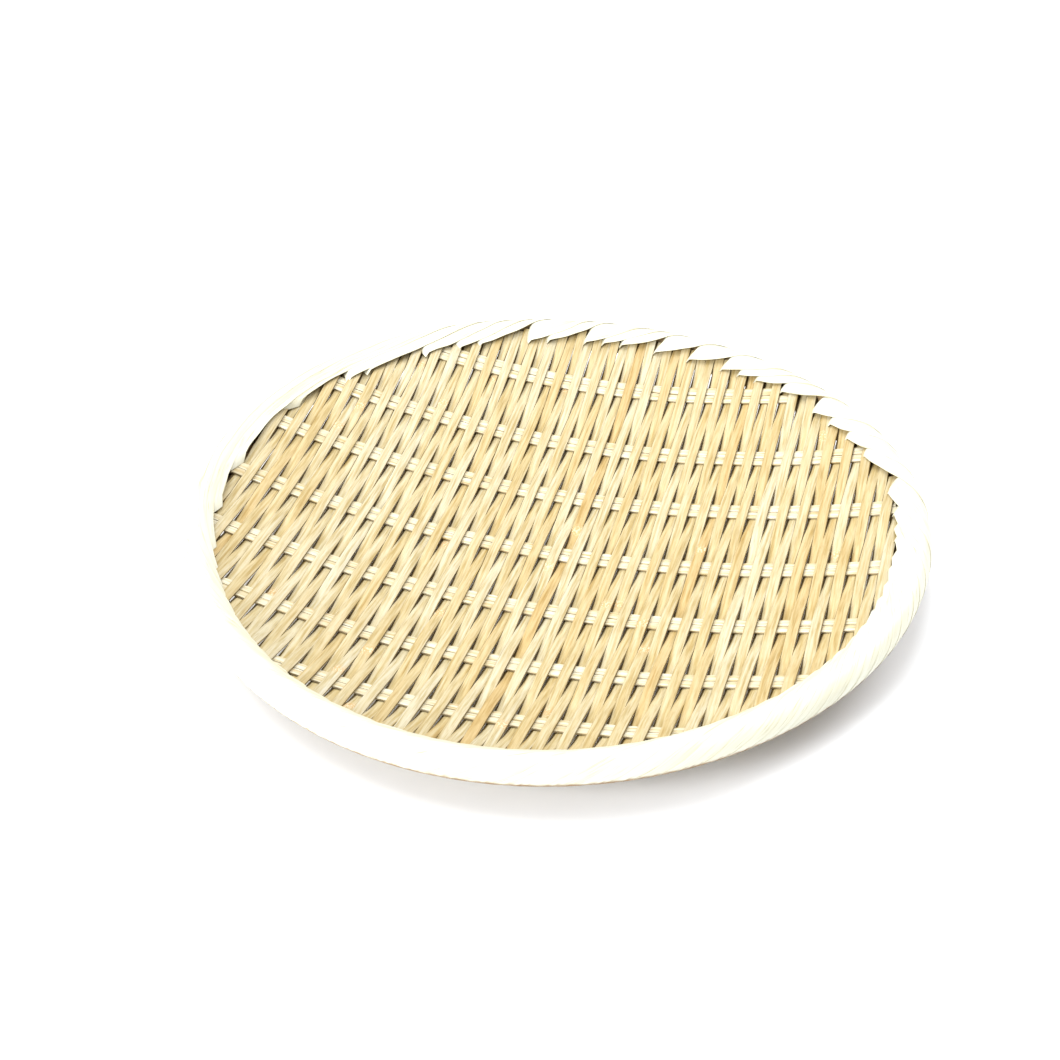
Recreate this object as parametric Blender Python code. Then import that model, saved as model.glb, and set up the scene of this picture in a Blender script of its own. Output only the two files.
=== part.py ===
"""A round shallow bamboo tray basket: flat strands woven over and under pairs of cross strips, their
ends held between two hoops and bound by a wrapped rim.

Metres, +Z up. X runs along the cross strips and Y along the strands. The origin lies under the middle
of the tray, on the surface that it stands on. Neighbouring strands are joined two by two by a turn
hidden in the rim, which makes each pair of strands one solid."""

import math

import bmesh
import bpy
from mathutils import Vector

# Rim: a round section on a hoop that is bent by hand, so it is a little oval and a little three-sided
RIM_RADIUS = 0.144
RIM_SECTION = 0.006
RIM_OVAL = 0.0026
RIM_OVAL_ANGLE = math.radians(-56)
RIM_LOBE = 0.00175
RIM_LOBE_ANGLE = math.radians(25.5)
RIM_STEPS = 60
HOOP_FACE = 0.0006
WRAP_THICKNESS = 0.0008
WRAP_MOUTH = math.radians(25)

# Strands: the dense set, which runs along Y
STRAND_COUNT = 66
STRAND_PITCH = 0.00409
STRAND_WIDTH = 0.00375
STRAND_THICKNESS = 0.0008
STRAND_END = 0.0018
TURN_WIDTH = 0.0022

# Cross strips: seven rows of two, spaced by hand, which run along X
ROW_CENTRES = (0.1120, 0.0740, 0.0388, 0.0002, -0.0376, -0.0750, -0.1126)
ROW_SPACING = 0.0374
STRIP_SPACING = 0.0043
STRIP_WIDTH = 0.0040
STRIP_THICKNESS = 0.0007
STRIP_END = 0.0046
STRIP_STEP = 0.017

# Bowl: the surface midway between the over and under passes of the weave
BOWL_DEPTH = 0.0192
BOWL_BELLY = 0.0085
WEAVE_INSET = 0.0078
RIM_RISE = 0.0009

# Place of the bowl's middle, which puts the middle of the whole tray on the origin
BOWL_CENTRE = (-0.0003, 0.0017, 0)

GAP = 0.0003
PASS_GAP = 0.00035
PASS_HALF_LENGTH = 0.0049
PASS_LIFT = (STRAND_THICKNESS + STRIP_THICKNESS) / 2 + PASS_GAP
BOWL_BOTTOM = PASS_LIFT + STRAND_THICKNESS / 2
RIM_HEIGHT = BOWL_BOTTOM + BOWL_DEPTH + RIM_RISE
HOOP_SECTION = RIM_SECTION - WRAP_THICKNESS - GAP


def rim_radius(angle):
    """Radius of the rim's centreline in the direction of angle."""
    oval = RIM_OVAL * math.cos(2 * (angle - RIM_OVAL_ANGLE))
    lobe = RIM_LOBE * math.cos(3 * (angle - RIM_LOBE_ANGLE))
    return RIM_RADIUS + oval + lobe


def bowl_height(x, y):
    """Height of the bowl surface: a dish that is flatter along Y."""
    edge = rim_radius(math.atan2(y, x)) - WEAVE_INSET
    radius_squared = (x * x + y * y) / edge**2
    belly = BOWL_BELLY * (y / edge) ** 2 * (1 - radius_squared)
    return BOWL_BOTTOM + BOWL_DEPTH * radius_squared - belly


def bowl_point(x, y, lift):
    """The point that lies lift above the bowl surface, along its normal."""
    step = 0.0005
    slope_x = (bowl_height(x + step, y) - bowl_height(x - step, y)) / (2 * step)
    slope_y = (bowl_height(x, y + step) - bowl_height(x, y - step)) / (2 * step)
    normal = Vector((-slope_x, -slope_y, 1)).normalized()
    return Vector((x, y, bowl_height(x, y))) + lift * normal


def chord_end(offset, inset, angle_of):
    """Half the length of a straight line, offset from the middle, that stops inset from the rim's
    centreline. angle_of gives the direction of a point from its place along the line."""
    end = RIM_RADIUS
    for _ in range(12):
        radius = rim_radius(angle_of(end)) - inset
        end = math.sqrt(radius**2 - offset**2)
    return end


def strand_end(x, inset, side):
    """Y at which a line along Y stops, on the side +1 or -1."""
    return side * chord_end(x, inset, lambda end: math.atan2(side * end, x))


def strip_end(y, inset, side):
    """X at which a line along X stops, on the side +1 or -1."""
    return side * chord_end(y, inset, lambda end: math.atan2(y, side * end))


def make_material(name, color, roughness):
    material = bpy.data.materials.new(name)
    material.use_nodes = True
    shader = material.node_tree.nodes["Principled BSDF"]
    shader.inputs["Base Color"].default_value = (*color, 1)
    shader.inputs["Roughness"].default_value = roughness
    shader.inputs["Metallic"].default_value = 0
    return material


def add_object(name, mesh_data, material):
    """Turn a bmesh into a named object of the tray, with its faces pointing out."""
    bmesh.ops.recalc_face_normals(mesh_data, faces=mesh_data.faces)
    mesh = bpy.data.meshes.new(name)
    mesh_data.to_mesh(mesh)
    mesh_data.free()
    mesh.materials.append(material)
    part = bpy.data.objects.new(name, mesh)
    bpy.context.scene.collection.objects.link(part)
    part.parent = bpy.data.objects["tray"]
    return part


def add_ribbon(name, stations, thickness, material):
    """A flat ribbon on the bowl. Each station is the place of its left and right edges, and the lift
    of its middle plane above the bowl."""
    mesh_data = bmesh.new()
    rings = []
    for left, right, lift in stations:
        corners = [
            bowl_point(*left, lift + thickness / 2),
            bowl_point(*right, lift + thickness / 2),
            bowl_point(*right, lift - thickness / 2),
            bowl_point(*left, lift - thickness / 2),
        ]
        rings.append([mesh_data.verts.new(corner) for corner in corners])
    for ring, following in zip(rings, rings[1:]):
        for side in range(4):
            after = (side + 1) % 4
            mesh_data.faces.new((ring[side], ring[after], following[after], following[side]))
    mesh_data.faces.new(rings[0])
    mesh_data.faces.new(rings[-1])
    return add_object(name, mesh_data, material)


def add_ring(name, section_at, material):
    """A closed ring along the rim. section_at gives its outline at an angle, as distances out from
    the rim's centreline and heights above it."""
    mesh_data = bmesh.new()
    rings = []
    for step in range(RIM_STEPS):
        angle = 2 * math.pi * step / RIM_STEPS
        ring = []
        for outward, upward in section_at(angle):
            radius = rim_radius(angle) + outward
            place = (radius * math.cos(angle), radius * math.sin(angle), RIM_HEIGHT + upward)
            ring.append(mesh_data.verts.new(place))
        rings.append(ring)
    for step, ring in enumerate(rings):
        following = rings[(step + 1) % RIM_STEPS]
        for side in range(len(ring)):
            after = (side + 1) % len(ring)
            mesh_data.faces.new((ring[side], ring[after], following[after], following[side]))
    part = add_object(name, mesh_data, material)
    part.data.shade_smooth()
    part.data.set_sharp_from_angle(angle=math.radians(40))
    return part


def arc(radius, start, end, count):
    """Points on a circle about the rim's centreline. An angle of 0 points to the tray's middle and
    a quarter turn points up."""
    points = []
    for index in range(count):
        angle = start + (end - start) * index / (count - 1)
        points.append((-radius * math.cos(angle), radius * math.sin(angle)))
    return points


def pass_lift(strand, y):
    """Lift of a strand's middle plane: level over or under each row, straight between rows."""
    rows = [ROW_CENTRES[0] + ROW_SPACING, *ROW_CENTRES, ROW_CENTRES[-1] - ROW_SPACING]
    lifts = [PASS_LIFT if (strand + row) % 2 else -PASS_LIFT for row in range(len(rows))]
    row = 0
    while row < len(rows) - 2 and y < rows[row + 1] + PASS_HALF_LENGTH:
        row += 1
    high = rows[row] - PASS_HALF_LENGTH
    low = rows[row + 1] + PASS_HALF_LENGTH
    share = min(max((y - low) / (high - low), 0), 1)
    return lifts[row + 1] + share * (lifts[row] - lifts[row + 1])


def strand_stations(strand):
    """The stations of one strand from its -Y end to its +Y end, without the two ends."""
    middle = (strand - (STRAND_COUNT - 1) / 2) * STRAND_PITCH
    left = middle - STRAND_WIDTH / 2
    right = middle + STRAND_WIDTH / 2
    cut = STRAND_END + GAP
    turn = STRAND_END + TURN_WIDTH + GAP
    lowest = max(strand_end(left, cut, -1), strand_end(right, cut, -1))
    highest = min(strand_end(left, turn, 1), strand_end(right, turn, 1))
    stations = []
    for centre in reversed(ROW_CENTRES):
        for y in (centre - PASS_HALF_LENGTH, centre + PASS_HALF_LENGTH):
            if lowest < y < highest:
                stations.append(((left, y), (right, y), pass_lift(strand, y)))
    return left, right, stations


def add_strands(first, material):
    """Two neighbouring strands, joined at their +Y ends by a turn inside the rim."""
    left, right, rising = strand_stations(first)
    far_left, far_right, falling = strand_stations(first + 1)
    outer = STRAND_END
    inner = STRAND_END + TURN_WIDTH

    def end_station(strand, edges, insets, side):
        places = [(x, strand_end(x, inset, side)) for x, inset in zip(edges, insets)]
        lift = pass_lift(strand, (places[0][1] + places[1][1]) / 2)
        return places[0], places[1], lift

    path = [end_station(first, (left, right), (outer, outer), -1)]
    path += rising
    path.append(end_station(first, (left, right), (outer, inner), 1))
    path.append(end_station(first + 1, (far_right, far_left), (outer, inner), 1))
    path += [(place, other, lift) for other, place, lift in reversed(falling)]
    path.append(end_station(first + 1, (far_right, far_left), (outer, outer), -1))
    return add_ribbon(f"strands_{first + 1:02d}_{first + 2:02d}", path, STRAND_THICKNESS, material)


def add_cross_strip(row, half, material):
    """One strip of a row: half 0 is the one on the +Y side, half 1 the one on the -Y side."""
    middle = ROW_CENTRES[row] + STRIP_SPACING * (0.5 - half)
    near = middle - STRIP_WIDTH / 2
    far = middle + STRIP_WIDTH / 2
    start = max(strip_end(near, STRIP_END, -1), strip_end(far, STRIP_END, -1))
    end = min(strip_end(near, STRIP_END, 1), strip_end(far, STRIP_END, 1))
    count = round((end - start) / STRIP_STEP)
    path = []
    for index in range(count + 1):
        x = start + (end - start) * index / count
        path.append(((x, far), (x, near), 0))
    return add_ribbon(f"cross_strip_{row + 1}{'ab'[half]}", path, STRIP_THICKNESS, material)


def wrap_section(angle):
    """The rim's wrapping: a round shell, open towards the weave."""
    outside = arc(RIM_SECTION, WRAP_MOUTH, 2 * math.pi - WRAP_MOUTH, 14)
    inside = arc(RIM_SECTION - WRAP_THICKNESS, 2 * math.pi - WRAP_MOUTH, WRAP_MOUTH, 12)
    return outside + inside


def outer_hoop_section(angle):
    """The outer hoop: a half-round rod outside the ends of the strands."""
    turn = math.acos(HOOP_FACE / HOOP_SECTION)
    return arc(HOOP_SECTION, turn, 2 * math.pi - turn, 9)


def under_hoop_section(angle):
    """The under hoop: a split rod below the ends of the strands, with its top along the weave."""
    clearance = BOWL_BOTTOM + 1.5 * PASS_GAP
    outer_face = -STRAND_END
    inner_face = -0.72 * RIM_SECTION
    top = []
    for outward in (outer_face, inner_face):
        radius = rim_radius(angle) + outward
        surface = bowl_height(radius * math.cos(angle), radius * math.sin(angle))
        top.append((outward, surface - RIM_HEIGHT - clearance))
    bottom = []
    for outward in (inner_face, (inner_face + outer_face) / 2, outer_face):
        bottom.append((outward, -math.sqrt(HOOP_SECTION**2 - outward**2)))
    return top + bottom


def build():
    for leftover in list(bpy.data.objects):
        bpy.data.objects.remove(leftover, do_unlink=True)
    tray = bpy.data.objects.new("tray", None)
    tray.location = BOWL_CENTRE
    bpy.context.scene.collection.objects.link(tray)
    straw = make_material("strand_bamboo", (0.78, 0.58, 0.30), 0.55)
    pale = make_material("cross_strip_bamboo", (0.90, 0.80, 0.52), 0.50)
    ivory = make_material("wrap_bamboo", (0.93, 0.90, 0.76), 0.45)
    cane = make_material("hoop_bamboo", (0.70, 0.52, 0.30), 0.60)
    for first in range(0, STRAND_COUNT, 2):
        add_strands(first, straw)
    for row in range(len(ROW_CENTRES)):
        for half in range(2):
            add_cross_strip(row, half, pale)
    add_ring("rim_outer_hoop", outer_hoop_section, cane)
    add_ring("rim_under_hoop", under_hoop_section, cane)
    add_ring("rim_wrap", wrap_section, ivory)


build()
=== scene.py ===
import math
import random

import bpy
import numpy as np
from mathutils import Matrix, Vector


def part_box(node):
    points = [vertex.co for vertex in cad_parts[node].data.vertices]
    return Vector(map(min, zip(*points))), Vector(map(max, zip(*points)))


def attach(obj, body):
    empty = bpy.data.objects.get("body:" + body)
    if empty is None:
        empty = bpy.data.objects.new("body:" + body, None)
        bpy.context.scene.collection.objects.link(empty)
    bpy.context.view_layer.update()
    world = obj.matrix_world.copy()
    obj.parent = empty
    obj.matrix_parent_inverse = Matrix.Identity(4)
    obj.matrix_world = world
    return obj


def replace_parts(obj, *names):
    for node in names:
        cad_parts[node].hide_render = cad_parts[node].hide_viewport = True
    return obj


# The looks of a woven bamboo tray: 66 flat strands, seven rows of paired cross strips and a rim that is
# bound with long slanting strips. Metres, +Z up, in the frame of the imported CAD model.

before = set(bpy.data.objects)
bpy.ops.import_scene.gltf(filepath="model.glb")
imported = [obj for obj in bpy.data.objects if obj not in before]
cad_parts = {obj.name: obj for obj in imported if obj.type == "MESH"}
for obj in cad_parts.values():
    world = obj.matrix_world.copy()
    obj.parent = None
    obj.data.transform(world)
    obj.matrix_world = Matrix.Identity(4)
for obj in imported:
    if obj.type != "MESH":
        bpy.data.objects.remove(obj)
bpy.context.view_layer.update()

# Bowl and rim, as in the CAD model. The lowest point lies 0.2 mm higher, because these strands are thicker
BOWL_CENTRE = np.array((-0.0003, 0.0017))
RIM_RADIUS = 0.144
RIM_SECTION = 0.006
RIM_OVAL = 0.0026
RIM_OVAL_ANGLE = math.radians(-56)
RIM_LOBE = 0.00175
RIM_LOBE_ANGLE = math.radians(25.5)
BOWL_DEPTH = 0.0192
BOWL_BELLY = 0.0085
WEAVE_INSET = 0.0078
CHORD_ROUNDS = 12
PASS_LIFT = 0.0011
BOWL_BOTTOM = 0.0017
RIM_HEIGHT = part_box("rim_wrap")[1].z - RIM_SECTION

# Strands: they swell where they pass over or under a row, so that the weave closes
STRAND_COUNT = 66
STRAND_PITCH = 0.00409
STRAND_WIDTH = 0.00405
STRAND_SWELL_OVER = 0.06
STRAND_SWELL_UNDER = 0.16
STRAND_THICKNESS = 0.0011
STRAND_END = 0.0018
STRAND_STEP = 0.0024
STRAND_CROWN = 0.00020
PASS_HALF_LENGTH = 0.0042
PASS_SOFTNESS = 0.75

# Node of the cane: one place on each strand where it is a little wider and thicker, with a mottled patch
NODE_PLACES = (-0.16, 0.34)
NODE_REACH = 0.0016
NODE_WIDENING = 0.05
NODE_THICKENING = 0.35
NODE_PATCH_SHARPNESS = 380

# Cross strips
ROW_SPACING = 0.0374
ROW_COUNT = 7
STRIP_WIDTH = 0.00412
STRIP_THICKNESS = 0.00085
STRIP_END = 0.0046
STRIP_STEP = 0.00136
STRIP_CROWN = 0.00014
STRIP_PILLOW = 0.00010

# Unevenness of hand-split bamboo: a spread between pieces, or the reach and wavelength of a wander.
# Those of a width are shares of it
STRAND_WIDTH_SPREAD = 0.018
STRAND_WIDTH_WANDER = (0.008, 0.09)
STRAND_LIFT_WANDER = (0.00003, 0.05)
STRAND_SIDE_WANDER = (0.00010, 0.11)
STRAND_ROLL_SPREAD = math.radians(1.0)
STRAND_ROLL_WANDER = (math.radians(1.6), 0.07)
STRIP_SIDE_WANDER = (0.00008, 0.08)
STRIP_WIDTH_WANDER = (0.012, 0.06)
BINDING_WANDER = (0.00022, 0.03)

# Dark cut edges of the strips, partly their own colour and partly painted shade, from and to a
# distance from their middle, and painted shade in the corners beside a strand that passes over
STRAND_EDGE = (0.00190, 0.00214)
STRIP_EDGE = (0.00190, 0.00212)
EDGE_DARKNESS = 0.9
CORNER_SHADE_WIDTH = 0.00092
CORNER_SHADE_OUTSET = 0.0001
CORNER_SHADE_FADE = 0.00022
CORNER_SHADE_DARKNESS = 0.93

# Binding of the rim: how steeply its turns climb round the rim's section as they run along it, from a
# table that reaches more than half a lap each way
CLIMB = 0.72
CLIMB_LEFT = 0.03
CLIMB_START = 0.10
CLIMB_LEFT_ANGLE = math.radians(166)
CLIMB_LEFT_SPREAD = math.radians(42)
CLIMB_REACH = 1.0
CLIMB_SAMPLES = 4001
CLIMB_STEP = 0.001

# Binding of the rim: the strip of one turn, and how it lies on the turn before
BINDING_THICKNESS = 0.00022
BINDING_CROWN = 0.00008
BINDING_SHINGLE = 0.0007
SHINGLE_MEAN = 0.65
SHINGLE_SWING = 0.35
BINDING_OVERLAP = 0.0020
LEAST_ADVANCE = 0.003
LEAST_SEEN = 0.001
BINDING_STATIONS = 44
BINDING_COLUMNS = 11
TUBE_RADIUS = RIM_SECTION - BINDING_SHINGLE
TUBE_STEPS = 24
TUBE_LAST_ANGLE = math.radians(312)
PATH_CLEARANCE = 0.0006
PATH_END = (-0.0084, -0.0034)

# Binding of the rim: the slanting end of a turn, the brown painted shade on its underside and the
# painted shade along its seam
BASE_CURL = 0.0034
BASE_CURL_SCALE = 0.0055
BASE_CURL_EASE = 0.6
BASE_HIDDEN = 0.0010
BASE_SINK = 0.0020
BASE_SINK_LENGTH = 0.0008
UNDERSIDE_SHADE_ANGLE = math.radians(201)
UNDERSIDE_SHADE_FADE = math.radians(5)
SEAM_SHADE_WIDTH = 0.0003

# One lap of the rim, and a run after which a turn surely climbs at its full slope
LAP = 2 * math.pi * RIM_RADIUS
FULL_RUN = 1.0

# Where the turns of the binding come up through the weave: directions at the left in degrees, then the
# slots between strands along the back, then random gaps, in strand pitches, round the right and front
LEFT_TIPS = (204, 192, 178, 158)
BACK_SLOTS = (5.5, 7, 12, 15, 17, 22, 24, 28, 30, 32, 36, 40, 44, 46, 48, 51, 55, 57, 59, 61, 64)
SLOT_INSET = 0.009
FIRST_GAP = 0.11
FRONT_GAPS = (1.8, 3.6)
LAST_GAP = 0.05

# Shape of the turns by their direction in degrees: share of the slant that runs along the rim, length
# over which a turn comes to climb at its full slope, and how far in from the rim's centreline it starts
SLANT_ANGLES = (-180, -150, -20, 0, 45, 90, 120, 141, 145, 148, 152, 180)
SLANTS = (-0.97, -0.9, -0.9, -0.96, -0.7, 0, -0.5, -0.5, 0, 0, -0.97, -0.97)
LAG_ANGLES = (-180, -140, -120, 34, 44, 180)
LAG_LENGTHS = (0.016, 0.016, 0.040, 0.040, 0.016, 0.016)
REACH_ANGLES = (-180, -150, -60, -25, 0, 20, 45, 57, 75, 95, 120, 145, 156, 180)
REACHES = (
    0.0088, 0.0070, 0.0068, 0.0074, 0.0090, 0.0074, 0.0086,
    0.0078, 0.0096, 0.0090, 0.0100, 0.0110, 0.0086, 0.0088,
)

# Textures: the first number of the cross strips and of the binding, and what a piece's number is
# multiplied by, so that no two pieces look alike
FIRST_STRIP_NUMBER = 100
FIRST_BINDING_NUMBER = 200
PIECE_OFFSET = 7.31
TONE_OFFSET = 3.77

# Smooth shading stops at edges sharper than this
SHARP_ANGLE = math.radians(48)

# Stage
FLOOR_SIZE = 6
FLOOR_COLOR = (0.88, 0.90, 0.92, 1)
WORLD_STRENGTH = 0.85
LIGHTS = (
    # name, place, size, power
    ("key", (-1.5, -2.2, 1.25), 1.0, 102),
    ("top", (-0.6, 0.1, 2.1), 2.0, 50),
    ("back", (1.3, 1.7, 1.5), 1.2, 38),
)
CAMERA_PLACE = Vector((0.1588, -0.5758, 0.4474))
CAMERA_TARGET = Vector((-0.0090, 0.0017, 0.0120))
CAMERA_ROLL = math.radians(-0.986)
CAMERA_LENS = 62.62
CAMERA_SENSOR = 36

random.seed(7)
noise = np.random.default_rng(11)


# ---------------------------------------------------------------- shape of the tray

def rim_radius(angle):
    """Radius of the rim's centreline in the direction of angle."""
    oval = RIM_OVAL * np.cos(2 * (angle - RIM_OVAL_ANGLE))
    lobe = RIM_LOBE * np.cos(3 * (angle - RIM_LOBE_ANGLE))
    return RIM_RADIUS + oval + lobe


def bowl_height(x, y):
    """Height of the bowl surface at x, y, which are measured from the bowl's middle."""
    edge = rim_radius(np.arctan2(y, x)) - WEAVE_INSET
    radius_squared = (x * x + y * y) / edge**2
    belly = BOWL_BELLY * (y / edge) ** 2 * (1 - radius_squared)
    return BOWL_BOTTOM + BOWL_DEPTH * radius_squared - belly


def bowl_normal(x, y):
    """Upward unit normal of the bowl surface at x, y."""
    step = 0.0005
    slope_x = (bowl_height(x + step, y) - bowl_height(x - step, y)) / (2 * step)
    slope_y = (bowl_height(x, y + step) - bowl_height(x, y - step)) / (2 * step)
    normal = np.stack([-slope_x, -slope_y, np.ones_like(slope_x)], axis=-1)
    return normal / np.linalg.norm(normal, axis=-1, keepdims=True)


def bowl_point(x, y, lift):
    """Points that lie lift above the bowl surface, along its normal, in the row frame."""
    place = np.stack([x, y, bowl_height(x, y)], axis=-1) + lift[..., None] * bowl_normal(x, y)
    place[..., :2] += BOWL_CENTRE
    return place


def chord_end(offset, inset, along_y, side):
    """Where a straight line, offset from the middle, stops inset from the rim's centreline. Each round
    comes closer, because the rim's radius there depends on the answer."""
    end = RIM_RADIUS
    for _ in range(CHORD_ROUNDS):
        angle = math.atan2(side * end, offset) if along_y else math.atan2(offset, side * end)
        end = math.sqrt((rim_radius(angle) - inset) ** 2 - offset**2)
    return side * end


def row_centres():
    """Y of each row of cross strips, from the CAD model."""
    centres = []
    for row in range(ROW_COUNT):
        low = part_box(f"cross_strip_{row + 1}b")[0].y
        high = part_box(f"cross_strip_{row + 1}a")[1].y
        centres.append((low + high) / 2 - BOWL_CENTRE[1])
    return centres


ROWS = row_centres()


def ease(share, amount):
    """Blend a straight ramp with one that starts and ends softly."""
    soft = share * share * (3 - 2 * share)
    return share + amount * (soft - share)


def pass_lift(strand, y):
    """Lift of a strand's middle plane: over or under each row, with a ramp between rows."""
    rows = [ROWS[0] + ROW_SPACING, *ROWS, ROWS[-1] - ROW_SPACING]
    places = []
    lifts = []
    for row, centre in enumerate(rows):
        lift = PASS_LIFT if (strand + row) % 2 else -PASS_LIFT
        places += [-centre - PASS_HALF_LENGTH, -centre + PASS_HALF_LENGTH]
        lifts += [lift, lift]
    places = np.array(places)
    lifts = np.array(lifts)
    segment = np.clip(np.searchsorted(places, -y) - 1, 0, len(places) - 2)
    share = np.clip((-y - places[segment]) / (places[segment + 1] - places[segment]), 0, 1)
    return lifts[segment] + ease(share, PASS_SOFTNESS) * (lifts[segment + 1] - lifts[segment])


def wander(places, reach, length):
    """A smooth random curve of about the given reach and wavelength."""
    total = np.zeros_like(places)
    for octave in range(3):
        phase = noise.uniform(0, 2 * math.pi)
        scale = noise.uniform(0.7, 1.4) * length / (1 + 0.7 * octave)
        total += np.sin(2 * math.pi * places / scale + phase) / (1.3 + octave)
    return reach * total


# ---------------------------------------------------------------- meshes

def add_sweep(name, rings, grain, material, painted_light_mask=None):
    """A closed body through rings of points. grain holds each point's place along and across the
    fibres, in metres, and the piece's own number; the last argument, from 0 to 1, tells how hidden the
    point is, which the material uses for painted shade and light."""
    stations, around = rings.shape[:2]
    faces = []
    for station in range(stations - 1):
        base = station * around
        for side in range(around):
            after = (side + 1) % around
            faces.append((base + side, base + after, base + around + after, base + around + side))
    faces.append(tuple(range(around - 1, -1, -1)))
    faces.append(tuple(range((stations - 1) * around, stations * around)))
    mesh = bpy.data.meshes.new(name)
    mesh.from_pydata(rings.reshape(-1, 3).tolist(), [], faces)
    attribute = mesh.attributes.new("grain", "FLOAT_VECTOR", "POINT")
    attribute.data.foreach_set("vector", grain.reshape(-1).astype(np.float32))
    if painted_light_mask is None:
        painted_light_mask = np.zeros(grain.shape[:2])
    attribute = mesh.attributes.new("painted_light_mask", "FLOAT", "POINT")
    attribute.data.foreach_set("value", painted_light_mask.reshape(-1).astype(np.float32))
    mesh.materials.append(material)
    mesh.shade_smooth()
    mesh.set_sharp_from_angle(angle=SHARP_ANGLE)
    piece = bpy.data.objects.new(name, mesh)
    bpy.context.scene.collection.objects.link(piece)
    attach(piece, "root")
    return piece


def ribbon_profile(thickness, crown):
    """Outline of a flat split-bamboo strip, as shares of its width and as heights: a crowned top,
    rounded edges and a flat back."""
    half = thickness / 2
    across = (-0.5, -0.47, -0.34, -0.17, 0, 0.17, 0.34, 0.47, 0.5)
    top = [(share, half - crown * (2 * share) ** 2) for share in across]
    top[0] = (-0.5, -0.1 * half)
    top[-1] = (0.5, -0.1 * half)
    back = [(0.47, -half), (0.2, -half * 0.95), (-0.2, -half * 0.95), (-0.47, -half)]
    return np.array(top + back)


def strand_node(y, node_at):
    """The swelling of the strand at a node of the cane."""
    return np.exp(-(((y - node_at) / NODE_REACH) ** 2))


def add_strand(strand, material):
    """One strand, which passes over one row and under the next."""
    middle = (strand - (STRAND_COUNT - 1) / 2) * STRAND_PITCH
    start = chord_end(middle, STRAND_END, True, -1)
    end = chord_end(middle, STRAND_END, True, 1)
    count = round((end - start) / STRAND_STEP) + 1
    y = np.linspace(start, end, count)
    node_at = noise.uniform(*NODE_PLACES)
    swelling = strand_node(y, node_at)
    width = STRAND_WIDTH * (1 + noise.normal(0, STRAND_WIDTH_SPREAD))
    width = width * (1 + wander(y, *STRAND_WIDTH_WANDER))
    pressed = pass_lift(strand, y)
    swell = np.where(pressed > 0, STRAND_SWELL_OVER, STRAND_SWELL_UNDER) * np.abs(pressed) / PASS_LIFT
    width = width * (1 + NODE_WIDENING * swelling + swell)
    lift = pressed + wander(y, *STRAND_LIFT_WANDER)
    x = middle + wander(y, *STRAND_SIDE_WANDER)
    roll = wander(y, *STRAND_ROLL_WANDER) + noise.normal(0, STRAND_ROLL_SPREAD)
    profile = ribbon_profile(STRAND_THICKNESS, STRAND_CROWN)
    across = profile[None, :, 0] * width[:, None]
    upward = profile[None, :, 1] * (1 + NODE_THICKENING * swelling[:, None])
    turned = across * np.cos(roll)[:, None] - upward * np.sin(roll)[:, None]
    raised = across * np.sin(roll)[:, None] + upward * np.cos(roll)[:, None]
    along = np.repeat(y[:, None], len(profile), axis=1)
    rings = bowl_point(x[:, None] + turned, along, lift[:, None] + raised)
    number = np.full_like(along, strand)
    grain = np.stack([along - node_at, across, number], axis=-1)
    # How far the strand lies under a row, from 0 to 1: there the material paints shade in its corners and
    # paints it lighter
    painted_light_mask = np.repeat(np.clip(-pressed / PASS_LIFT, 0, 1)[:, None], len(profile), axis=1)
    piece = add_sweep(f"strand_{strand + 1:02d}", rings[:, ::-1], grain[:, ::-1], material, painted_light_mask)
    first = strand // 2 * 2 + 1
    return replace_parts(piece, f"strands_{first:02d}_{first + 1:02d}")


def add_cross_strip(row, half, material):
    """One strip of a row, pressed down by the strands that pass over it."""
    node = f"cross_strip_{row + 1}{'ab'[half]}"
    low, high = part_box(node)
    middle = (low.y + high.y) / 2 - BOWL_CENTRE[1]
    edges = (middle - STRIP_WIDTH / 2, middle + STRIP_WIDTH / 2)
    start = max(chord_end(edge, STRIP_END, False, -1) for edge in edges)
    end = min(chord_end(edge, STRIP_END, False, 1) for edge in edges)
    count = round((end - start) / STRIP_STEP) + 1
    x = np.linspace(start, end, count)
    y = middle + wander(x, *STRIP_SIDE_WANDER)
    phase = math.pi * (x / STRAND_PITCH + (STRAND_COUNT - 1) / 2 + row)
    lift = -STRIP_PILLOW * np.cos(phase)
    width = STRIP_WIDTH * (1 + wander(x, *STRIP_WIDTH_WANDER))
    profile = ribbon_profile(STRIP_THICKNESS, STRIP_CROWN)
    across = profile[None, :, 0] * width[:, None]
    along = np.repeat(x[:, None], len(profile), axis=1)
    rings = bowl_point(along, y[:, None] + across, lift[:, None] + profile[None, :, 1])
    number = FIRST_STRIP_NUMBER + 2 * row + half
    grain = np.stack([along, across, np.full_like(along, number)], axis=-1)
    piece = add_sweep(f"{node}_woven", rings, grain, material)
    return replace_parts(piece, node)


# ---------------------------------------------------------------- binding of the rim

def climb_table():
    """How far the binding has climbed round the rim's section, for distances clockwise from +X."""
    along = np.linspace(-CLIMB_REACH, CLIMB_REACH, CLIMB_SAMPLES)
    angle = -along / RIM_RADIUS
    off = np.angle(np.exp(1j * (angle - CLIMB_LEFT_ANGLE))) / CLIMB_LEFT_SPREAD
    climb = CLIMB + (CLIMB_LEFT - CLIMB) * np.exp(-0.5 * off**4)
    return along, np.concatenate([[0], np.cumsum(climb[1:] * np.diff(along))])


CLIMB_ALONG, CLIMBED = climb_table()


def climbed(along):
    """How far the binding has climbed at some distance clockwise from +X."""
    return np.interp(along, CLIMB_ALONG, CLIMBED)


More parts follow.
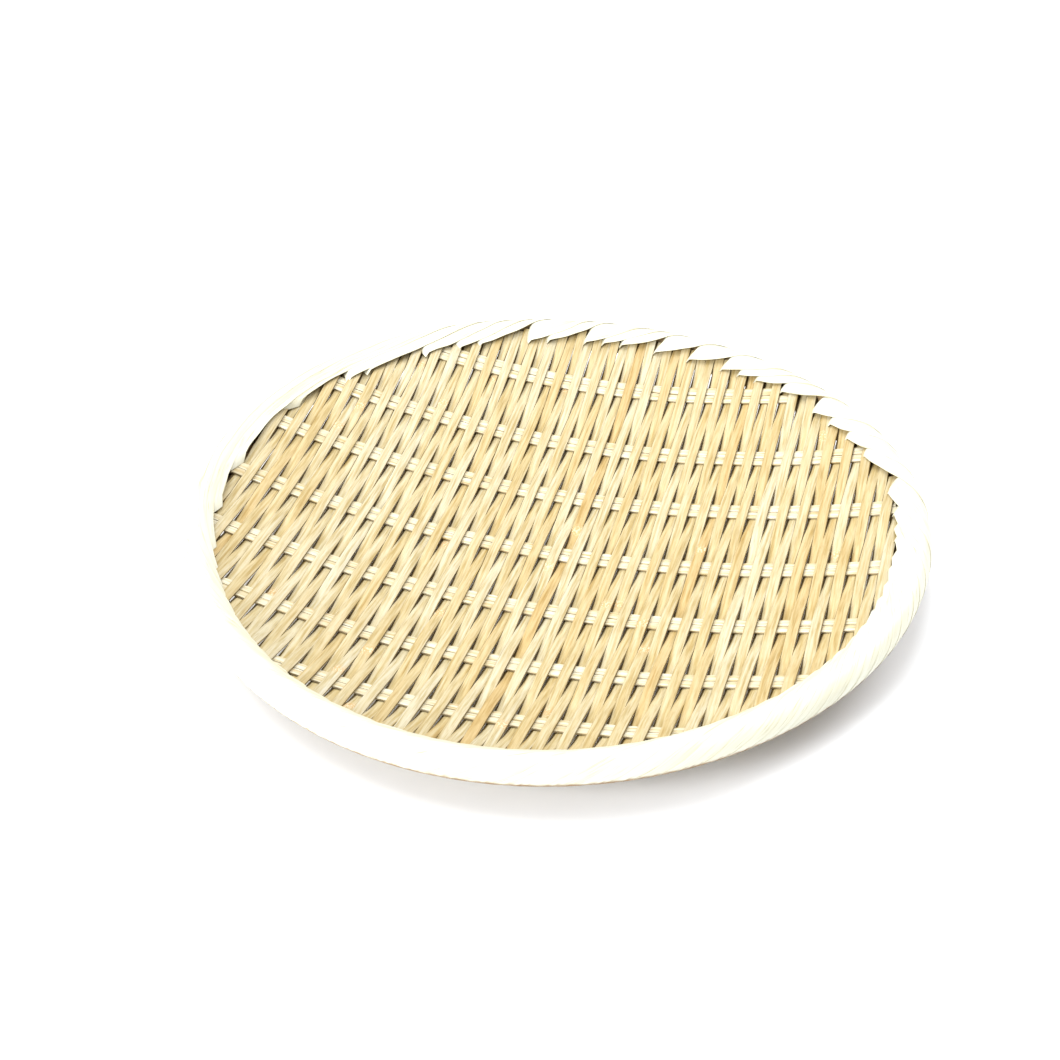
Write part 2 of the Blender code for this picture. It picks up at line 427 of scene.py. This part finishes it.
def binding_path(reach):
    """The way a turn of the binding takes round the rim, as distances out from its centreline and up:
    straight from the weave to the rim, round it, and back to the underside of the weave."""
    weave = bowl_height(np.array(RIM_RADIUS - reach), np.array(0.0))
    height = weave + PASS_LIFT + PATH_CLEARANCE - RIM_HEIGHT
    distance = math.hypot(reach, height)
    touch = math.acos(TUBE_RADIUS / distance) - math.atan2(-height, reach)
    points = [(-reach, height)]
    for step in range(TUBE_STEPS + 1):
        angle = touch + (TUBE_LAST_ANGLE - touch) * step / TUBE_STEPS
        points.append((-TUBE_RADIUS * math.cos(angle), TUBE_RADIUS * math.sin(angle)))
    points.append(PATH_END)
    points = np.array(points)
    lengths = np.concatenate([[0], np.cumsum(np.linalg.norm(np.diff(points, axis=0), axis=1))])
    return points, lengths


def path_places(path, distance, lift):
    """Points at some distance along the path, raised from it by lift."""
    points, lengths = path
    distance = np.clip(distance, 0, lengths[-1])
    step = 0.0004
    ahead = np.clip(distance + step, 0, lengths[-1])
    behind = np.clip(distance - step, 0, lengths[-1])
    outward = np.interp(distance, lengths, points[:, 0])
    upward = np.interp(distance, lengths, points[:, 1])
    run = np.interp(ahead, lengths, points[:, 0]) - np.interp(behind, lengths, points[:, 0])
    rise = np.interp(ahead, lengths, points[:, 1]) - np.interp(behind, lengths, points[:, 1])
    length = np.hypot(run, rise)
    return outward - lift * rise / length, upward + lift * run / length


def degrees_round(angle):
    """Degrees between -180 and 180."""
    return (math.degrees(angle) + 180) % 360 - 180


def base_direction(angle):
    """Direction of a turn's slanting end, clockwise along the rim and outward."""
    slant = float(np.interp(degrees_round(angle), SLANT_ANGLES, SLANTS))
    return slant, math.sqrt(1 - slant**2)


def settle(run, slope, length):
    """How far a turn lags behind its slope, as it first runs along the rim and then climbs."""
    return (slope - CLIMB_START) * length * (1 - np.exp(-run / length))


def binding_turns():
    """The turns of the binding in clockwise order, each as its start and its reach."""
    angles = [math.radians(tip) for tip in LEFT_TIPS]
    for slot in BACK_SLOTS:
        x = (slot - STRAND_COUNT / 2) * STRAND_PITCH
        angles.append(math.acos(x / (RIM_RADIUS - SLOT_INSET)))
    angle = angles[-1] - FIRST_GAP
    while angle > math.radians(LEFT_TIPS[0] - 360) + LAST_GAP:
        angles.append(angle)
        angle -= random.uniform(*FRONT_GAPS) * STRAND_PITCH / RIM_RADIUS
    return [(angle, float(np.interp(degrees_round(angle), REACH_ANGLES, REACHES))) for angle in angles]


class Turn:
    """One turn of the binding: where it starts, clockwise in metres, how far in from the rim's
    centreline, and how steeply and how late it climbs."""

    def __init__(self, angle, reach, laps_back=0):
        self.angle = angle
        self.reach = reach
        self.start = -angle * RIM_RADIUS - laps_back * LAP
        rise = float(climbed(self.start + CLIMB_STEP) - climbed(self.start - CLIMB_STEP))
        self.slope = rise / (2 * CLIMB_STEP)
        self.lag = float(np.interp(degrees_round(angle), LAG_ANGLES, LAG_LENGTHS))
        points, lengths = binding_path(reach)
        self.tangent = lengths[1] - TUBE_RADIUS * math.atan2(points[1][1], -points[1][0])

    def line(self):
        """The turn's level among the parallel turns on the rim."""
        return float(climbed(self.start)) + self.tangent + float(settle(FULL_RUN, self.slope, self.lag))

    def edge(self, along):
        """Level of the turn's lower edge on the rim."""
        gone = max(along - self.start, 0)
        rise = float(climbed(along) - climbed(self.start))
        return rise - float(settle(gone, self.slope, self.lag)) - self.tangent


def turn_ends(turn, before, level, path_length):
    """Where each fibre of a turn starts, on a slanting and curling line, and where it goes under the
    weave, in metres clockwise. level is the fibre's place across the strip."""
    slant, rise = base_direction(turn.angle)
    seen = max(before.edge(turn.start) + turn.tangent, LEAST_SEEN) + BASE_HIDDEN
    shown = np.minimum(level, seen)
    curl = (shown / BASE_CURL_SCALE) ** 2 / (1 + BASE_CURL_EASE * shown / BASE_CURL_SCALE) * BASE_CURL
    begin = turn.start + shown * slant / (rise - CLIMB_START * slant) + curl
    highest = climbed(turn.start) + path_length + settle(FULL_RUN, turn.slope, turn.lag)
    return begin, np.interp(highest - level, CLIMBED, CLIMB_ALONG)


def turn_distance(turn, level, along):
    """How far the points of a turn have come along the path round the rim's section."""
    gone = np.maximum(along - turn.start, 0)
    distance = level[None, :] + climbed(along) - climbed(turn.start) - settle(gone, turn.slope, turn.lag)
    distance = distance + wander(gone[:, :1], *BINDING_WANDER) * (gone > 0)
    return np.where(along < turn.start, level[None, :] + CLIMB_START * (along - turn.start), distance)


def both_faces(values):
    """The same values on the outer face and, in the other direction, on the inner one."""
    return np.concatenate([values, values[:, ::-1]], axis=1)


def add_binding(number, turn, before, material):
    """One turn of the binding. It rises from its slot, runs clockwise along the rim as it crosses over
    it, and goes back under the weave. Its upper edge lies under the turn before it."""
    path = binding_path(turn.reach)
    height = max(turn.line() - before.line(), LEAST_ADVANCE) + BINDING_OVERLAP
    across = np.linspace(0, 1, BINDING_COLUMNS)
    level = across * height
    path_length = path[1][-1]
    begin, finish = turn_ends(turn, before, level, path_length)
    share = np.linspace(0, 1, BINDING_STATIONS)[:, None]
    along = begin[None, :] + share * (finish - begin)[None, :]
    distance = turn_distance(turn, level, along)
    shingle = BINDING_SHINGLE * (SHINGLE_MEAN + SHINGLE_SWING * math.sin(turn.angle))
    lift = BINDING_SHINGLE - shingle * across + BINDING_CROWN * np.sin(math.pi * across)
    run = along - begin[None, :]
    sink = np.exp(-run / BASE_SINK_LENGTH) * BASE_SINK
    layers = []
    for depth in (0, BINDING_THICKNESS):
        outward, upward = path_places(path, distance, lift[None, :] - depth)
        direction = -along / RIM_RADIUS
        radius = rim_radius(direction) + outward
        x = radius * np.cos(direction) + BOWL_CENTRE[0]
        y = radius * np.sin(direction) + BOWL_CENTRE[1]
        layers.append(np.stack([x, y, RIM_HEIGHT + upward - sink], axis=-1))
    rings = np.concatenate([layers[0], layers[1][:, ::-1]], axis=1)
    fibre = both_faces(np.repeat(level[None, :], BINDING_STATIONS, axis=0))
    grain = np.stack([both_faces(run), fibre, np.full_like(fibre, FIRST_BINDING_NUMBER + number)], axis=-1)
    # Past a set angle round the rim's section, the turn's underside gets brown painted shade
    round_rim = (distance - turn.tangent) / TUBE_RADIUS
    shade = both_faces(np.clip((round_rim - UNDERSIDE_SHADE_ANGLE) / UNDERSIDE_SHADE_FADE, 0, 1))
    piece = add_sweep(f"binding_turn_{number + 1:02d}", rings, grain, material, shade)
    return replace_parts(piece, "rim_wrap")


def add_bindings(material):
    """All turns of the binding. The first one lies on the last one, a lap further back."""
    turns = [Turn(angle, reach) for angle, reach in binding_turns()]
    last = turns[-1]
    before = Turn(last.angle, last.reach, 1)
    for number, turn in enumerate(turns):
        add_binding(number, turn, before, material)
        before = turn


# ---------------------------------------------------------------- materials

class Nodes:
    """Short names for building a node tree."""

    def __init__(self, name):
        self.material = bpy.data.materials.new(name)
        self.material.use_nodes = True
        self.tree = self.material.node_tree
        self.shader = self.tree.nodes["Principled BSDF"]

    def add(self, kind, **settings):
        node = self.tree.nodes.new(kind)
        for setting, value in settings.items():
            setattr(node, setting, value)
        return node

    def link(self, source, target):
        self.tree.links.new(source, target)

    def value(self, operation, first, second=None):
        """Arithmetic on one or two numbers or sockets."""
        node = self.add("ShaderNodeMath", operation=operation)
        for socket, item in zip(node.inputs, (first, second)):
            self.feed(item, socket)
        return node.outputs[0]

    def feed(self, item, socket):
        """Set a socket to a number, or link another socket to it."""
        if item is None:
            return
        if isinstance(item, (int, float)):
            socket.default_value = item
        else:
            self.link(item, socket)

    def ramp(self, factor, stops):
        node = self.add("ShaderNodeValToRGB")
        elements = node.color_ramp.elements
        while len(elements) < len(stops):
            elements.new(0.5)
        for element, (position, color) in zip(elements, stops):
            element.position = position
            element.color = (*color, 1)
        self.link(factor, node.inputs["Fac"])
        return node.outputs["Color"]

    def mix(self, factor, first, second, blend="MIX"):
        node = self.add("ShaderNodeMix", data_type="RGBA", blend_type=blend)
        self.feed(factor, node.inputs["Factor"])
        for item, socket in ((first, node.inputs["A"]), (second, node.inputs["B"])):
            if isinstance(item, tuple):
                socket.default_value = (*item, 1)
            else:
                self.link(item, socket)
        return node.outputs["Result"]

    def noise(self, vector, scale, detail=2.0, roughness=0.5):
        node = self.add("ShaderNodeTexNoise")
        node.inputs["Scale"].default_value = scale
        node.inputs["Detail"].default_value = detail
        node.inputs["Roughness"].default_value = roughness
        self.link(vector, node.inputs["Vector"])
        return node.outputs["Fac"]

    def vector(self, x, y, z):
        node = self.add("ShaderNodeCombineXYZ")
        for item, socket in zip((x, y, z), node.inputs):
            self.feed(item, socket)
        return node.outputs[0]

    def attribute(self, name):
        return self.add("ShaderNodeAttribute", attribute_name=name, attribute_type="GEOMETRY")

    def grain(self):
        """Place along the fibres, place across them, and the piece's number."""
        attribute = self.attribute("grain")
        split = self.add("ShaderNodeSeparateXYZ")
        self.link(attribute.outputs["Vector"], split.inputs[0])
        return split.outputs

    def painted_light_mask(self):
        """How far a point lies hidden, under the neighbours or below the rim, which sets painted shade and
        light.
        """
        return self.attribute("painted_light_mask").outputs["Fac"]

    def bump(self, height, strength, distance):
        node = self.add("ShaderNodeBump")
        node.inputs["Strength"].default_value = strength
        node.inputs["Distance"].default_value = distance
        self.link(height, node.inputs["Height"])
        self.link(node.outputs[0], self.shader.inputs["Normal"])


def fibre_vector(nodes, along, across, number, stretch):
    """Texture coordinates in millimetres, drawn out along the fibres and apart for each piece."""
    return nodes.vector(
        nodes.value("MULTIPLY", across, 1000),
        nodes.value("MULTIPLY", along, 1000 / stretch),
        nodes.value("MULTIPLY", number, PIECE_OFFSET),
    )


def edge_share(nodes, across, edge):
    """How far a point lies towards its strip's cut edge, which is darker: own colour and painted shade."""
    inner, outer = edge
    distance = nodes.value("ABSOLUTE", across)
    share = nodes.value("DIVIDE", nodes.value("SUBTRACT", distance, inner), outer - inner)
    return nodes.value("MINIMUM", nodes.value("MAXIMUM", share, 0), EDGE_DARKNESS)


def corner_shade_share(nodes, across):
    """How much painted shade a point of a strand gets in the corner beside a neighbour that passes over
    it.
    """
    corner = nodes.value("MULTIPLY", nodes.painted_light_mask(), CORNER_SHADE_WIDTH)
    inner = nodes.value("SUBTRACT", STRAND_WIDTH / 2 + CORNER_SHADE_OUTSET, corner)
    beyond = nodes.value("SUBTRACT", nodes.value("ABSOLUTE", across), inner)
    share = nodes.value("DIVIDE", beyond, CORNER_SHADE_FADE)
    return nodes.value("MINIMUM", nodes.value("MAXIMUM", share, 0), CORNER_SHADE_DARKNESS)


def streaked(nodes, base, along, across, number, stretch):
    """Lay lengthwise fibres over a base colour: broad pale and dark bands with fine lines on them."""
    fibres = fibre_vector(nodes, along, across, number, stretch)
    bands = nodes.noise(fibres, 1.05, 2, 0.55)
    lines = nodes.noise(fibres, 3.1, 3, 0.6)
    dark_bands = nodes.ramp(bands, [
        (0.30, (0.72, 0.62, 0.38)),
        (0.47, (0.95, 0.93, 0.86)),
        (0.62, (1.08, 1.10, 1.16)),
    ])
    dark_lines = nodes.ramp(lines, [(0.30, (0.76, 0.68, 0.52)), (0.50, (1, 1, 1))])
    color = nodes.mix(0.92, base, dark_bands, "MULTIPLY")
    return nodes.mix(0.65, color, dark_lines, "MULTIPLY"), nodes.value("ADD", bands, lines)


def strand_material():
    """Straw-coloured strands, each with its own tone and a mottled node. Their darker edges are partly
    their own colour and partly painted shade; beside a neighbour that passes over they get painted
    shade, and where they pass under a row they are painted lighter.
    """
    nodes = Nodes("strand_bamboo_detailed")
    along, across, number = nodes.grain()
    broad = nodes.noise(fibre_vector(nodes, along, across, number, 40), 0.50, 2, 0.5)
    own = nodes.noise(nodes.vector(0.5, 0.5, nodes.value("MULTIPLY", number, TONE_OFFSET)), 1.0, 0)
    tone = nodes.value("ADD", nodes.value("MULTIPLY", own, 0.60), nodes.value("MULTIPLY", broad, 0.40))
    base = nodes.ramp(tone, [
        (0.30, (0.475, 0.435, 0.32)),
        (0.42, (0.455, 0.395, 0.255)),
        (0.56, (0.435, 0.35, 0.185)),
        (0.70, (0.425, 0.31, 0.14)),
    ])
    color, relief = streaked(nodes, base, along, across, number, 20)
    from_node = nodes.value("MULTIPLY", along, NODE_PATCH_SHARPNESS)
    falling = nodes.value("MULTIPLY", nodes.value("MULTIPLY", from_node, from_node), -1)
    near_node = nodes.value("EXPONENT", falling)
    mottle = nodes.noise(fibre_vector(nodes, along, across, number, 1.6), 1.5, 3, 0.7)
    color = nodes.mix(nodes.value("MULTIPLY", near_node, 0.6), color, (0.50, 0.31, 0.13))
    flecks = nodes.value("MULTIPLY", near_node, nodes.value("GREATER_THAN", mottle, 0.54))
    color = nodes.mix(nodes.value("MULTIPLY", flecks, 0.7), color, (0.66, 0.60, 0.44))
    # Darker cut edges: partly their own colour, partly painted shade on the side faces
    color = nodes.mix(edge_share(nodes, across, STRAND_EDGE), color, (0.16, 0.10, 0.03))
    # Painted light: where a strand passes under a row it is painted lighter, against the shade it lies in
    color = nodes.mix(nodes.painted_light_mask(), color, (1.14, 1.14, 1.10), "MULTIPLY")
    # Painted shade in the corner beside a neighbour that passes over
    color = nodes.mix(corner_shade_share(nodes, across), color, (0.055, 0.032, 0.005))
    nodes.link(color, nodes.shader.inputs["Base Color"])
    nodes.shader.inputs["Roughness"].default_value = 0.5
    nodes.shader.inputs["Specular IOR Level"].default_value = 0.3
    nodes.bump(relief, 0.6, 0.00012)
    return nodes.material


def cross_strip_material():
    """Paler than the strands, with the same fibres; darker edges are own colour and painted shade."""
    nodes = Nodes("cross_strip_bamboo_detailed")
    along, across, number = nodes.grain()
    broad = nodes.noise(fibre_vector(nodes, along, across, number, 12), 0.4, 2, 0.5)
    base = nodes.ramp(broad, [
        (0.35, (0.60, 0.56, 0.43)),
        (0.55, (0.57, 0.51, 0.36)),
        (0.72, (0.54, 0.44, 0.27)),
    ])
    color, relief = streaked(nodes, base, along, across, number, 14)
    # Darker cut edges: partly their own colour, partly painted shade on the side faces
    color = nodes.mix(edge_share(nodes, across, STRIP_EDGE), color, (0.20, 0.13, 0.05))
    nodes.link(color, nodes.shader.inputs["Base Color"])
    nodes.shader.inputs["Roughness"].default_value = 0.5
    nodes.shader.inputs["Specular IOR Level"].default_value = 0.3
    nodes.bump(relief, 0.5, 0.00010)
    return nodes.material


def binding_material():
    """Smooth ivory skin of the cane, with fine streaks, painted shade along the seams and brown
    painted shade on the underside.
    """
    nodes = Nodes("wrap_bamboo_detailed")
    along, across, number = nodes.grain()
    fine = nodes.noise(fibre_vector(nodes, along, across, number, 30), 2.0, 3, 0.6)
    broad = nodes.noise(fibre_vector(nodes, along, across, number, 16), 0.3, 2, 0.5)
    base = nodes.ramp(broad, [
        (0.35, (0.62, 0.615, 0.52)),
        (0.6, (0.585, 0.57, 0.45)),
        (0.8, (0.52, 0.485, 0.35)),
    ])
    streaks = nodes.ramp(fine, [(0.30, (0.52, 0.48, 0.30)), (0.39, (0.94, 0.92, 0.84)), (0.5, (1, 1, 1))])
    color = nodes.mix(0.7, base, streaks, "MULTIPLY")
    # Painted shade: a thin dark line along each turn's lower edge, where it lies on the turn before
    seam_shade = nodes.value("SUBTRACT", 1, nodes.value("MINIMUM", nodes.value("DIVIDE", across, SEAM_SHADE_WIDTH), 1))
    color = nodes.mix(nodes.value("MULTIPLY", seam_shade, 0.45), color, (0.40, 0.35, 0.20))
    # Brown painted shade on the underside of the rim
    color = nodes.mix(nodes.painted_light_mask(), color, (0.22, 0.12, 0.035))
    nodes.link(color, nodes.shader.inputs["Base Color"])
    rough = nodes.value("ADD", nodes.value("MULTIPLY", fine, 0.2), 0.32)
    nodes.link(rough, nodes.shader.inputs["Roughness"])
    nodes.bump(fine, 0.35, 0.00008)
    return nodes.material


def hoop_material():
    """Dry brown bamboo rod."""
    nodes = Nodes("hoop_bamboo_detailed")
    place = nodes.add("ShaderNodeTexCoord").outputs["Object"]
    fine = nodes.noise(place, 900, 3, 0.6)
    color = nodes.ramp(fine, [(0.3, (0.20, 0.13, 0.06)), (0.7, (0.34, 0.25, 0.13))])
    nodes.link(color, nodes.shader.inputs["Base Color"])
    nodes.shader.inputs["Roughness"].default_value = 0.6
    nodes.bump(fine, 0.4, 0.0001)
    return nodes.material


# ---------------------------------------------------------------- stage

def add_floor():
    """A plain white floor, not part of the object."""
    bpy.ops.mesh.primitive_plane_add(size=FLOOR_SIZE)
    floor = bpy.context.object
    floor.name = "floor"
    material = bpy.data.materials.new("floor_white")
    material.use_nodes = True
    shader = material.node_tree.nodes["Principled BSDF"]
    shader.inputs["Base Color"].default_value = FLOOR_COLOR
    shader.inputs["Roughness"].default_value = 0.9
    shader.inputs["Specular IOR Level"].default_value = 0.1
    floor.data.materials.append(material)


def add_light(name, place, size, power):
    """A white area light that faces the origin."""
    light = bpy.data.lights.new(name, "AREA")
    light.size = size
    light.energy = power
    lamp = bpy.data.objects.new(name, light)
    lamp.location = place
    lamp.rotation_euler = (-Vector(place)).to_track_quat("-Z", "Y").to_euler()
    bpy.context.scene.collection.objects.link(lamp)


def add_world():
    """Even white light from all round."""
    world = bpy.data.worlds.new("studio")
    world.use_nodes = True
    background = world.node_tree.nodes["Background"]
    background.inputs["Color"].default_value = (1, 1, 1, 1)
    background.inputs["Strength"].default_value = WORLD_STRENGTH
    bpy.context.scene.world = world


def add_camera():
    """The camera looks down on the tray from the front right."""
    data = bpy.data.cameras.new("camera")
    data.sensor_width = CAMERA_SENSOR
    data.lens = CAMERA_LENS
    data.clip_start = 0.01
    camera = bpy.data.objects.new("camera", data)
    look = (CAMERA_TARGET - CAMERA_PLACE).to_track_quat("-Z", "Y").to_matrix().to_4x4()
    roll = Matrix.Rotation(CAMERA_ROLL, 4, "Z")
    camera.matrix_world = Matrix.Translation(CAMERA_PLACE) @ look @ roll
    bpy.context.scene.collection.objects.link(camera)
    bpy.context.scene.camera = camera


def add_tray():
    """All pieces of the tray. The hoops inside the rim keep their CAD shape and get a new material."""
    strand_look = strand_material()
    strip_look = cross_strip_material()
    binding_look = binding_material()
    hoop_look = hoop_material()
    for strand in range(STRAND_COUNT):
        add_strand(strand, strand_look)
    for row in range(ROW_COUNT):
        for half in range(2):
            add_cross_strip(row, half, strip_look)
    add_bindings(binding_look)
    for name in ("rim_outer_hoop", "rim_under_hoop"):
        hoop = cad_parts[name]
        hoop.data.materials.clear()
        hoop.data.materials.append(hoop_look)


add_tray()
add_floor()
add_world()
for name, place, size, power in LIGHTS:
    add_light(name, place, size, power)
add_camera()
bpy.context.scene.view_settings.view_transform = "Standard"
